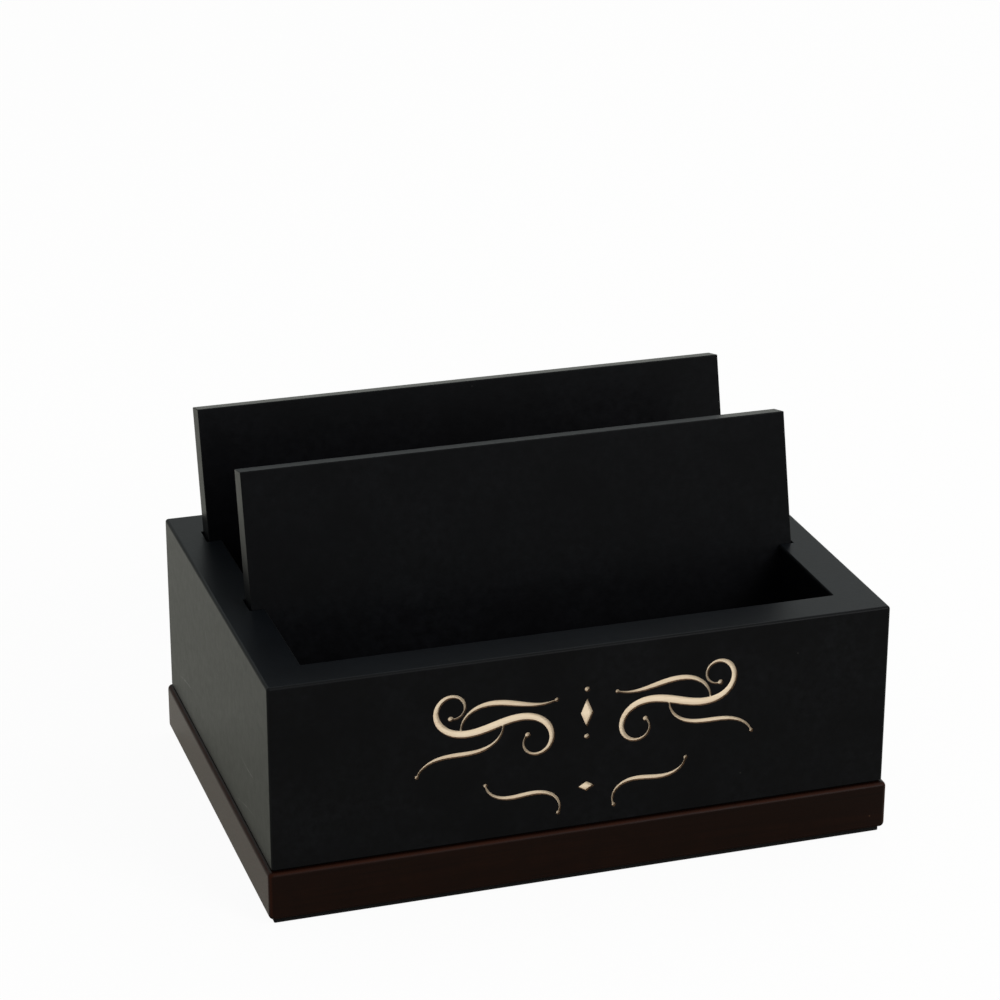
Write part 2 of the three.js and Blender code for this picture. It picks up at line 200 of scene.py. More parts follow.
class Shader(NodeTree):
    """Lays out the nodes of one material.

    Noise lies round 0.5, so that the ranges that it is read over, by span, lie there too.
    """

    def __init__(self, name: str) -> None:
        """Starts an empty material.

        Args:
            name: The material's name.
        """
        self.material = bpy.data.materials.new(name)
        self.material.use_nodes = True
        super().__init__(self.material.node_tree)
        self.position = self.add("TexCoord").outputs["Object"]

    def stretch(self, scale: Sequence[float]) -> NodeSocket:
        """Scales the piece's own coordinates, where a small factor draws a pattern out."""
        return self.add("Mapping", Vector=self.position, Scale=scale).outputs["Vector"]

    def along(self, axis: Axis, factor: float) -> NodeSocket:
        """Draws the piece's own coordinates out along one axis, by a factor below 1."""
        return self.stretch([factor if way is axis else 1.0 for way in Axis])

    def noise(
        self,
        size: float,
        detail: float = 2.0,
        roughness: float = 0.5,
        distortion: float = 0.0,
        position: NodeSocket | None = None,
    ) -> NodeSocket:
        """Adds fractal noise.

        Args:
            size: The width of the coarsest feature, in metres.
            detail: The number of finer octaves.
            roughness: How strong the finer octaves are.
            distortion: How far the pattern is warped.
            position: Where it is sampled, or None for the piece's own coordinates.

        Returns:
            A value around 0.5.
        """
        node = self.add(
            "TexNoise",
            Vector=position or self.position,
            Scale=1 / size,
            Detail=detail,
            Roughness=roughness,
            Distortion=distortion,
        )
        return node.outputs["Fac"]

    def specks(self, spacing: float, edge: Range) -> NodeSocket:
        """Scatters specks that begin, and are whole, at two shares of the spacing between them."""
        node = self.add("TexVoronoi", Vector=self.position, Scale=1 / spacing)
        return self.span(node.outputs["Distance"], edge)

    def span(self, value: NodeSocket, source: Range, target: Range = (0.0, 1.0)) -> NodeSocket:
        """Maps a value from one range to another and clamps it there.

        Args:
            value: The value to map.
            source: The range that it is read over.
            target: The range that it is given.

        Returns:
            The mapped value.
        """
        first, last = source
        low, high = target
        reading = {"From_Min": first, "From_Max": last, "To_Min": low, "To_Max": high}
        return self.add("MapRange", Value=value, **reading).outputs["Result"]

    def distance(self, point: Sequence[float]) -> NodeSocket:
        """Measures how far the surface is from a point, in metres."""
        return self.maths("DISTANCE", self.position, point, "VectorMath")

    def facing(self, axis: Axis) -> NodeSocket:
        """Reads how far the surface faces along an axis, from -1 to 1."""
        split = self.add("SeparateXYZ", Vector=self.add("NewGeometry").outputs["Normal"])
        return split.outputs[axis.value]

    def worn_and_highlit_edges(self, cloud: NodeSocket, source: Range) -> NodeSocket:
        """Finds the eased edges, where the surface faces between two axes, and marks them unevenly,
        as wear and as a painted highlight.

        Args:
            cloud: Noise that says where they are marked most.
            source: The range that it is read over.

        Returns:
            0 on the flat faces, and up to 1 on the eased edges.
        """
        x, y, z = (self.maths("ABSOLUTE", self.facing(axis)) for axis in Axis)
        squareness = self.maths("MAXIMUM", self.maths("MAXIMUM", x, y), z)
        eased = self.span(squareness, FLAT_TO_EASED)
        return self.maths("MULTIPLY", eased, self.span(cloud, source, (LEAST_WEAR_AND_HIGHLIGHT, 1.0)))

    def relief(
        self, height: NodeSocket, depth: float, strength: float, over: NodeSocket | None = None
    ) -> NodeSocket:
        """Raises the surface by a height from 0 to 1 of a depth, over another relief if given."""
        node = self.add("Bump", Strength=strength, Distance=depth, Height=height, Normal=over)
        return node.outputs["Normal"]

    def show(self, surface: NodeSocket) -> Material:
        """Ends the material in a surface, and returns it."""
        self.add("OutputMaterial", Surface=surface)
        return self.material

    def finish(self, **sockets: object) -> Material:
        """Ends the material in a principled surface, whose inputs are fed as add feeds them."""
        return self.show(self.add("BsdfPrincipled", **sockets).outputs["BSDF"])


@dataclass(frozen=True)
class Scratch:
    """A faint curved scratch: the part of a thin ring that lies inside a ball.

    Places and sizes are in millimetres.
    """

    centre: Place
    radius: float
    middle: Place
    reach: float
    width: float = 0.22
    core: float = 0.2
    fading: float = 0.3
    break_length: float = 1.1

    def mask(self, shader: Shader) -> NodeSocket:
        """Finds the scratch on the surface.

        Args:
            shader: The material that it is drawn in.

        Returns:
            1 in the scratch, and 0 away from it.
        """
        off = shader.maths("SUBTRACT", shader.distance(Vector(self.centre) * MM), self.radius * MM)
        width, reach = self.width * MM, self.reach * MM
        line = shader.span(shader.maths("ABSOLUTE", off), (width, self.core * width))
        fade = shader.span(shader.distance(Vector(self.middle) * MM), (reach, self.fading * reach))
        broken = shader.span(shader.noise(self.break_length * MM, 3, 0.7), (0.38, 0.6))
        return shader.maths("MULTIPLY", shader.maths("MULTIPLY", line, fade), broken)


@dataclass(frozen=True)
class BlackLacquer:
    """Satin black lacquer, sprayed over wood, with a little haze, dust and handling, a painted
    skylight that lightens its upward faces, and a painted highlight on its eased edges.
    """

    name: str
    dark: Colour = (0.0015, 0.0015, 0.0019)
    hazy: Colour = (0.0036, 0.0038, 0.0046)
    # eased edges painted lighter, partly real wear and partly a painted highlight
    rubbed_and_highlit: Colour = (0.0045, 0.0048, 0.0052)
    # painted skylight: upward faces are painted lighter and bluer, as light from above
    painted_skylight: Colour = (0.0036, 0.0043, 0.0054)
    dust: Colour = (0.016, 0.016, 0.015)
    scratched: Colour = (0.085, 0.085, 0.08)
    roughness: Range = (0.30, 0.345)
    worn_roughness: float = 0.2
    specular: float = 0.046
    grain: Axis = Axis.ALONG_FRONT
    along_grain: float = 0.06
    haze_size: float = 14 * MM
    mottle_size: float = 1.5 * MM
    dust_spacing: float = 9 * MM
    pore_width: float = 0.55 * MM
    pore_depth: float = 0.01 * MM
    spray_size: float = 0.45 * MM
    spray_depth: float = 0.02 * MM
    scratches: tuple[Scratch, ...] = ()

    def material(self) -> Material:
        """Builds the lacquer's material.

        Returns:
            The material.
        """
        shader = Shader(self.name)
        haze = shader.noise(self.haze_size, 4, 0.6, 0.4)
        mottle = shader.noise(self.mottle_size, 4, 0.65)
        cloud = shader.span(haze, (0.35, 0.7))
        cloud = shader.maths("MULTIPLY", cloud, shader.span(mottle, NOISE_RANGE))
        colour = shader.blend(cloud, self.dark, self.hazy)
        # Painted skylight: upward faces are lightened and tinted blue in patches, as light from
        # above.
        upward = shader.span(shader.facing(Axis.UPRIGHT), (0.9, 0.98))
        skylight_share = shader.maths("MULTIPLY", upward, shader.span(haze, (0.25, 0.6), (0.6, 1.0)))
        colour = shader.blend(skylight_share, colour, self.painted_skylight)
        # The eased edges are painted lighter, partly as wear and partly as a painted highlight.
        worn_and_highlit = shader.worn_and_highlit_edges(haze, (0.3, 0.65))
        colour = shader.blend(worn_and_highlit, colour, self.rubbed_and_highlit)
        colour = shader.blend(shader.specks(self.dust_spacing, (0.019, 0.009)), colour, self.dust)
        for scratch in self.scratches:
            colour = shader.blend(scratch.mask(shader), colour, self.scratched)
        gloss = shader.span(shader.noise(self.mottle_size, 4, 0.6), NOISE_RANGE, self.roughness)
        gloss = shader.maths("ADD", gloss, shader.span(worn_and_highlit, (0, 1), (0, self.worn_roughness)))
        pores = shader.noise(self.pore_width, position=shader.along(self.grain, self.along_grain))
        relief = shader.relief(pores, self.pore_depth, 0.25)
        relief = shader.relief(shader.noise(self.spray_size), self.spray_depth, 0.5, relief)
        return shader.finish(
            Base_Color=colour,
            Roughness=gloss,
            Normal=relief,
            Specular_IOR_Level=self.specular,
        )


@dataclass(frozen=True)
class BareWood:
    """The pale wood that the engraving lays bare."""

    name: str = "engraved_wood"
    light: Colour = (0.83, 0.69, 0.50)
    dark: Colour = (0.66, 0.50, 0.33)
    fibre_width: float = 0.35 * MM
    band_width: float = 3.5 * MM
    fibre_depth: float = 0.03 * MM
    roughness: float = 0.75
    specular: float = 0.3

    def material(self) -> Material:
        """Builds the bare wood's material.

        Returns:
            The material.
        """
        shader = Shader(self.name)
        fibres = shader.noise(self.fibre_width, 3, 0.6, 0.3, shader.along(Axis.ALONG_FRONT, 0.08))
        bands = shader.noise(self.band_width, 3, 0.5, 0.5, shader.along(Axis.ALONG_FRONT, 0.15))
        share = shader.maths(
            "ADD",
            shader.span(fibres, (0.35, 0.75), (0.0, 0.5)),
            shader.span(bands, (0.4, 0.7), (0.0, 0.4)),
        )
        return shader.finish(
            Base_Color=shader.blend(share, self.light, self.dark),
            Roughness=self.roughness,
            Normal=shader.relief(fibres, self.fibre_depth, 0.6),
            Specular_IOR_Level=self.specular,
        )


@dataclass(frozen=True)
class ScorchedEdge:
    """The browned sides of the engraving."""

    name: str = "scorched_edge"
    brown: Colour = (0.16, 0.095, 0.05)
    burnt: Colour = (0.04, 0.022, 0.012)
    patch_size: float = 0.5 * MM
    roughness: float = 0.85
    specular: float = 0.2

    def material(self) -> Material:
        """Builds the scorched wood's material.

        Returns:
            The material.
        """
        shader = Shader(self.name)
        share = shader.span(shader.noise(self.patch_size, 3, 0.6), (0.35, 0.65))
        return shader.finish(
            Base_Color=shader.blend(share, self.brown, self.burnt),
            Roughness=self.roughness,
            Specular_IOR_Level=self.specular,
        )


@dataclass(frozen=True)
class StainedWood:
    """Wood with a stain and a satin coat, with its grain along one axis and a dull underside, and,
    where given, eased edges painted lighter, as wear and as a painted highlight, except where they
    face down.
    """

    name: str
    ground: Colour
    grain_colour: Colour
    band_colour: Colour
    roughness: Range
    grain: Axis = Axis.ALONG_FRONT
    specular: float = 0.4
    # eased edges painted lighter, partly real wear and partly a painted highlight
    rubbed_and_highlit: Colour | None = None
    dust: Colour | None = None
    worn_roughness: float = 0.28
    underside_roughness: float = 0.95
    along_grain: float = 0.045
    pore_along_grain: float = 0.4
    band_width: float = 4.0 * MM
    pore_width: float = 0.4 * MM
    blotch_size: float = 6.0 * MM
    dust_spacing: float = 7 * MM
    ripple_size: float = 1.2 * MM
    pore_depth: float = 0.03 * MM
    ripple_depth: float = 0.02 * MM

    def material(self) -> Material:
        """Builds the stained wood's material.

        Returns:
            The material.
        """
        shader = Shader(self.name)
        along = shader.along(self.grain, self.along_grain)
        fine = shader.along(self.grain, self.pore_along_grain * self.along_grain)
        bands = shader.noise(self.band_width, 4, 0.6, 0.8, along)
        pores = shader.noise(self.pore_width, 3, 0.6, 0.0, fine)
        blotches = shader.noise(self.blotch_size, 3, 0.6, 0.6)
        figure = shader.span(bands, (0.35, 0.7))
        figure = shader.maths("MULTIPLY", figure, shader.span(blotches, (0.3, 0.65)))
        colour = shader.blend(figure, self.ground, self.band_colour)
        open_pores = shader.span(pores, (0.5, 0.75), (0.0, 0.6))
        colour = shader.blend(open_pores, colour, self.grain_colour)
        gloss = shader.span(pores, (0.35, 0.75), self.roughness)
        upright = shader.facing(Axis.UPRIGHT)
        dull = shader.span(upright, (-0.05, -0.3), (0, self.underside_roughness))
        gloss = shader.maths("MAXIMUM", gloss, dull)
        if self.rubbed_and_highlit:
            worn_and_highlit = shader.worn_and_highlit_edges(blotches, (0.2, 0.6))
            # Edges that face down keep no painted highlight, as they lie in shade.
            worn_and_highlit = shader.maths("MULTIPLY", worn_and_highlit, shader.span(upright, (-0.2, 0.0)))
            colour = shader.blend(worn_and_highlit, colour, self.rubbed_and_highlit)
            gloss = shader.maths("ADD", gloss, shader.span(worn_and_highlit, (0, 1), (0, self.worn_roughness)))
        if self.dust:
            specks = shader.specks(self.dust_spacing, (0.022, 0.010))
            colour = shader.blend(specks, colour, self.dust)
        relief = shader.relief(pores, self.pore_depth, 0.35)
        relief = shader.relief(shader.noise(self.ripple_size), self.ripple_depth, 0.25, relief)
        return shader.finish(
            Base_Color=colour,
            Roughness=gloss,
            Normal=relief,
            Specular_IOR_Level=self.specular,
        )


@dataclass(frozen=True)
class BlackFelt:
    """Pressed black felt with loose fibres, whose sides are painted darker as shade."""

    name: str = "black_felt"
    deep: Colour = (0.0035, 0.0035, 0.004)
    fibre: Colour = (0.03, 0.03, 0.031)
    # painted shade: the sides of the felt are painted darker, as shade
    painted_shade_sides: Colour = (0.0016, 0.0013, 0.0012)
    fibre_width: float = 0.35 * MM
    clump_size: float = 2.5 * MM
    pile_depth: float = 0.15 * MM

    def material(self) -> Material:
        """Builds the felt's material.

        Returns:
            The material.
        """
        shader = Shader(self.name)
        matted = shader.noise(self.fibre_width, 4, 0.7, 2.5)
        clumps = shader.noise(self.clump_size, 3, 0.6, 1.0)
        share = shader.span(matted, (0.45, 0.75))
        share = shader.maths("MULTIPLY", share, shader.span(clumps, (0.2, 0.7)))
        colour = shader.blend(share, self.deep, self.fibre)
        # Painted shade: the sides, which face neither up nor down, are painted darker.
        flat = shader.span(shader.maths("ABSOLUTE", shader.facing(Axis.UPRIGHT)), (0.2, 0.7))
        return shader.finish(
            Base_Color=shader.blend(flat, self.painted_shade_sides, colour),
            Roughness=0.95,
            Normal=shader.relief(matted, self.pile_depth, 0.8),
            Specular_IOR_Level=0.06,
            Sheen_Weight=0.1,
            Sheen_Roughness=0.5,
        )


@dataclass(frozen=True)
class ZincPlate:
    """Bright zinc plating with a faint drawn texture."""

    name: str = "zinc_plate"
    bright: Colour = (0.62, 0.64, 0.67)
    dull: Colour = (0.42, 0.43, 0.45)
    cloud_size: float = 1.5 * MM
    grit_size: float = 0.2 * MM
    grit_depth: float = 0.01 * MM
    roughness: Range = (0.28, 0.45)

    def material(self) -> Material:
        """Builds the plating's material.

        Returns:
            The material.
        """
        shader = Shader(self.name)
        cloud = shader.noise(self.cloud_size, 4, 0.6)
        return shader.finish(
            Base_Color=shader.blend(shader.span(cloud, (0.35, 0.65)), self.bright, self.dull),
            Metallic=1.0,
            Roughness=shader.span(cloud, NOISE_RANGE, self.roughness),
            Normal=shader.relief(shader.noise(self.grit_size), self.grit_depth, 0.3),
        )


# Shapes


def box_mesh(low: Sequence[float], high: Sequence[float]) -> BMesh:
    """Starts a mesh as a box.

    Args:
        low: The box's lowest corner.
        high: The box's highest corner.

    Returns:
        The new mesh.
    """
    low, high = Vector(low), Vector(high)
    mesh = bmesh.new()
    place = Matrix.Translation((low + high) / 2) @ Matrix.Diagonal((*(high - low), 1.0))
    bmesh.ops.create_cube(mesh, size=1.0, matrix=place)
    return mesh


def edges_at(mesh: BMesh, test: Callable[[Vector], bool]) -> list[BMEdge]:
    """Finds the edges whose two ends pass a test of their places."""
    return [edge for edge in mesh.edges if all(test(vert.co) for vert in edge.verts)]


def round_over(mesh: BMesh, edges: list[BMEdge], radius: float, segments: int = 8) -> None:
    """Rounds edges over.

    Args:
        mesh: The mesh that they belong to.
        edges: The edges to round.
        radius: The radius of the rounding.
        segments: The number of steps round it.
    """
    bmesh.ops.bevel(
        mesh,
        geom=edges,
        offset=radius,
        offset_type="OFFSET",
        segments=segments,
        profile=0.5,
        affect="EDGES",
        material=-1,
        clamp_overlap=True,
    )


def part_off(mesh: BMesh, point: Sequence[float], away: Sequence[float]) -> None:
    """Cuts off what lies beyond a plane, and closes the cut.

    Args:
        mesh: The mesh to cut.
        point: A point on the plane.
        away: The direction of what is cut off.
    """
    everything = [*mesh.verts, *mesh.edges, *mesh.faces]
    bmesh.ops.bisect_plane(
        mesh, geom=everything, dist=0.1 * SLACK, plane_co=point, plane_no=away, clear_outer=True
    )
    normal = Vector(away).normalized()
    on_plane = [
        face
        for face in mesh.faces
        if all(abs((vert.co - Vector(point)).dot(normal)) < SLACK for vert in face.verts)
    ]
    bmesh.ops.delete(mesh, geom=on_plane, context="FACES")
    bmesh.ops.edgeloop_fill(mesh, edges=[edge for edge in mesh.edges if edge.is_boundary])


def add_piece(
    name: str, mesh: BMesh, materials: Sequence[Material], closed: bool = True
) -> Object:
    """Makes a Blender object from a mesh.

    Args:
        name: The object's name.
        mesh: Its mesh, which is freed.
        materials: Its materials, in the order of their numbers on the faces.
        closed: Whether it is a closed solid, whose faces are turned outwards.

    Returns:
        The new object.
    """
    if closed:
        bmesh.ops.recalc_face_normals(mesh, faces=mesh.faces)
    data = bpy.data.meshes.new(name)
    mesh.to_mesh(data)
    mesh.free()
    for material in materials:
        data.materials.append(material)
    piece = bpy.data.objects.new(name, data)
    bpy.context.scene.collection.objects.link(piece)
    return piece


def bake_modifiers(piece: Object) -> None:
    """Turns a piece's modifiers into mesh.

    Args:
        piece: The piece, which loses its modifiers.
    """
    bpy.context.view_layer.update()
    shaped = piece.evaluated_get(bpy.context.evaluated_depsgraph_get())
    data = bpy.data.meshes.new_from_object(shaped)
    piece.modifiers.clear()
    piece.data = data


def carve(piece: Object, cutters: Iterable[Object]) -> None:
    """Cuts other objects out of a piece, which takes on their materials where they cut it.

    Args:
        piece: The piece to cut.
        cutters: The objects to cut out, which are removed afterwards.
    """
    for cutter in cutters:
        cut = piece.modifiers.new("cut", "BOOLEAN")
        cut.operation = "DIFFERENCE"
        cut.solver = "EXACT"
        cut.use_self = True
        cut.material_mode = "TRANSFER"
        cut.object = cutter
        bake_modifiers(piece)
        bpy.data.objects.remove(cutter)


def drill_bit(
    low: Vector, high: Vector, axis: Axis, radii: Pair, material: Material, segments: int = 32
) -> Object:
    """Makes a round or conical cutter along the middle of a box.

    Args:
        low: The box's lowest corner.
        high: The box's highest corner.
        axis: The axis that it lies along.
        radii: Its radii at the low end and the high end.
        material: What the hole shows.
        segments: The number of steps round it.

    Returns:
        The cutter.
    """
    mesh = bmesh.new()
    line = Vector([float(way is axis) for way in Axis])
    turn = Vector((0, 0, 1)).rotation_difference(line).to_matrix().to_4x4()
    bmesh.ops.create_cone(
        mesh,
        cap_ends=True,
        segments=segments,
        radius1=radii[0],
        radius2=radii[1],
        depth=(high - low)[axis.value],
        matrix=Matrix.Translation((low + high) / 2) @ turn,
    )
    return add_piece("drill_bit", mesh, [material])


def shade_hard(piece: Object, crease: float = 32.0) -> None:
    """Shades the rounded edges smooth and keeps the flat faces flat.

    Args:
        piece: The piece to shade.
        crease: The angle between two faces that leaves a sharp edge, in degrees.
    """
    mesh = bmesh.new()
    mesh.from_mesh(piece.data)
    limit = math.radians(crease)
    for face in mesh.faces:
        face.smooth = True
    for edge in mesh.edges:
        edge.smooth = len(edge.link_faces) == 2 and edge.calc_face_angle(math.pi) < limit
    mesh.to_mesh(piece.data)
    mesh.free()
    weighted = piece.modifiers.new("flat_faces_first", "WEIGHTED_NORMAL")
    weighted.keep_sharp = True
    weighted.weight = 100


def cover_ends(piece: Object, material: Material, squareness: float = 0.9) -> None:
    """Gives the faces at a piece's left and right ends a material of their own.

    Args:
        piece: The piece to cover.
        material: The material of its ends.
        squareness: How squarely an end face looks left or right.
    """
    piece.data.materials.append(material)
    for face in piece.data.polygons:
        if abs(face.normal.x) > squareness:
            face.material_index = len(piece.data.materials) - 1


def settle(piece: Object, body: Body, slot: Slot, nodes: Sequence[str]) -> None:
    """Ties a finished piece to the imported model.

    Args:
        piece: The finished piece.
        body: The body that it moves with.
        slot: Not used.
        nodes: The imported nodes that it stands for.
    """
    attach(piece, body.value)
    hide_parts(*nodes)
    log.info("%s: %d faces, rides on %s", piece.name, len(piece.data.polygons), body.value)


# The engraving


@dataclass(frozen=True)
class Stroke:
    """One stroke of the engraving, which is widest in the middle and curls towards its ends.

    Its curvature is bend at the middle and grows by swirl along the stroke. It goes back and on
    from there, and tips are the radii of the dots on its two ends. Sizes are in millimetres, and
    heights are above the foot of the board.
    """

    middle: Pair
    heading: float
    back: float
    on: float
    bend: float
    swirl: float
    width: float
    tips: Pair

    def walk(self, reach: float, steps: int) -> list[tuple[Vector, float]]:
        """Follows the stroke from its middle.

        Args:
            reach: How far to go, in millimetres, or below 0 to go back.
            steps: The number of steps to take.

        Returns:
            A point and a heading for each step, with the middle first.
        """
        step = reach / steps
        turn = math.radians(self.heading)
        here = Vector(self.middle)
        line = [(here.copy(), turn)]
        for i in range(steps):
            bend = (self.bend + self.swirl * (i + 0.5) * step) * step
            here += Vector((math.cos(turn + bend / 2), math.sin(turn + bend / 2))) * step
            turn += bend
            line.append((here.copy(), turn))
        return line


@dataclass
class Engraving:
    """Scrolls, dots and lozenges cut through the lacquer of the front board into the bare wood."""

    depth: float = 0.5
    hairline: float = 0.34
    height: float = 22.9
    lower_height: float = 8.1
    steps: int = 56
    dot_radius: float = 0.5
    dot_spacing: float = 4.7
    overrun: float = 1.0
    swell_sharpness: float = 1.5
    strokes: list[Stroke] = field(init=False)
    lozenges: list[tuple[float, float, float]] = field(init=False)

    def __post_init__(self) -> None:
        """Draws the strokes and lozenges at their heights."""
        self.strokes = [
            Stroke((17.6, self.height), -16, 24, 26, 0, 0.0205, 1.6, (0.5, 0.5)),
            Stroke((15.6, self.height + 4.2), 10, 10, 11, -0.05, -0.021, 1.15, (0.38, 0)),
            Stroke((24.2, self.height - 4.9), 0, 10.8, 9.2, 0, -0.028, 0.95, (0, 0.38)),
            Stroke((12.2, self.lower_height), -6, 10.2, 8.6, 0, 0.042, 0.95, (0.38, 0.38)),
        ]
        self.lozenges = [(self.height, 2.4, 5.8), (self.lower_height, 3.2, 1.9)]

    def _ribbon(self, mesh: BMesh, stroke: Stroke, side: int) -> None:
        """Draws a stroke as a strip of faces, by extruding an edge along it.

        Args:
            mesh: The mesh to draw in.
            stroke: The stroke to draw.
            side: 1 for the right half, or -1 for its mirror image.
        """
        line = [*stroke.walk(-stroke.back, self.steps)[:0:-1], *stroke.walk(stroke.on, self.steps)]
        edge: BMEdge | None = None
        for i, (point, turn) in enumerate(line):
            away = abs(i - self.steps) / self.steps
            swell = max(math.cos(away * math.pi / 2), 0) ** self.swell_sharpness
            half = (self.hairline + (stroke.width - self.hairline) * swell) / 2
            across = Vector((-math.sin(turn), math.cos(turn))) * half
            if edge is None:
                ends = [mesh.verts.new(), mesh.verts.new()]
                edge = mesh.edges.new(ends)
            else:
                grown = bmesh.ops.extrude_edge_only(mesh, edges=[edge])["geom"]
                edge = next(item for item in grown if isinstance(item, BMEdge))
                first = edge.verts[0]
                ends = list(edge.verts)
                if not any(e.other_vert(first) == previous[0] for e in first.link_edges):
                    ends.reverse()
            for vert, sign in zip(ends, (1, -1)):
                vert.co = Vector((side * (point.x + sign * across.x), point.y + sign * across.y, 0))
            previous = ends

    def _disc(self, mesh: BMesh, x: float, y: float, size: Pair, segments: int = 24) -> None:
        """Draws a filled disc by its two radii, or a lozenge where it has four segments."""
        place = Matrix.Translation((x, y, 0)) @ Matrix.Diagonal((*size, 1, 1))
        bmesh.ops.create_circle(mesh, cap_ends=True, radius=1.0, segments=segments, matrix=place)

    def cutters(self, face: float, foot: float, materials: Sequence[Material]) -> list[Object]:
        """Makes the solids that cut the engraving.

        Args:
            face: Where the front of the board lies along Y.
            foot: Where the foot of the board lies along Z.
            materials: The materials of the engraving's floor and of its sides.

        Returns:
            One cutter for each set of marks that don't overlap.
        """
        drawings: list[BMesh] = []
        for stroke in self.strokes:
            mesh = bmesh.new()
            for side in (1, -1):
                self._ribbon(mesh, stroke, side)
            drawings.append(mesh)
            dots = bmesh.new()
            for reach, radius in zip((-stroke.back, stroke.on), stroke.tips):
                if radius > 0:
                    end = stroke.walk(reach, self.steps)[-1][0]
                    for side in (1, -1):
                        self._disc(dots, side * end.x, end.y, (radius, radius))
            drawings.append(dots)
        marks = bmesh.new()
        for away in (self.dot_spacing, -self.dot_spacing):
            self._disc(marks, 0, self.height + away, (self.dot_radius, self.dot_radius))
        for height, wide, tall in self.lozenges:
            self._disc(marks, 0, height, (wide / 2, tall / 2), segments=4)
        drawings.append(marks)
        upright = Matrix.Translation((0, face, foot)) @ Matrix.Scale(MM, 4)
        upright = upright @ Matrix.Rotation(math.pi / 2, 4, "X")
        return [self._sink(mesh, upright, materials) for mesh in drawings if mesh.faces]

    def _sink(self, mesh: BMesh, upright: Matrix, materials: Sequence[Material]) -> Object:
        """Makes a flat drawing a solid that reaches from the engraving's floor to the open air.

        Args:
            mesh: The drawing, in millimetres in its own plane.
            upright: The transform that stands it on the face of the board.
            materials: The materials of the floor and of the sides.

        Returns:
            The cutter.
        """
        bmesh.ops.translate(mesh, verts=mesh.verts, vec=(0, 0, -self.depth))
        grown = bmesh.ops.extrude_face_region(mesh, geom=mesh.faces[:])["geom"]
        lifted = [item for item in grown if isinstance(item, BMVert)]
        bmesh.ops.translate(mesh, verts=lifted, vec=(0, 0, self.depth + self.overrun))
        bmesh.ops.recalc_face_normals(mesh, faces=mesh.faces)
        for part in mesh.faces:
            part.material_index = 0 if abs(part.normal.z) > LEVEL else 1
        bmesh.ops.transform(mesh, matrix=upright, verts=mesh.verts)
        return add_piece("engraving_cutter", mesh, materials)


# The sub-assemblies


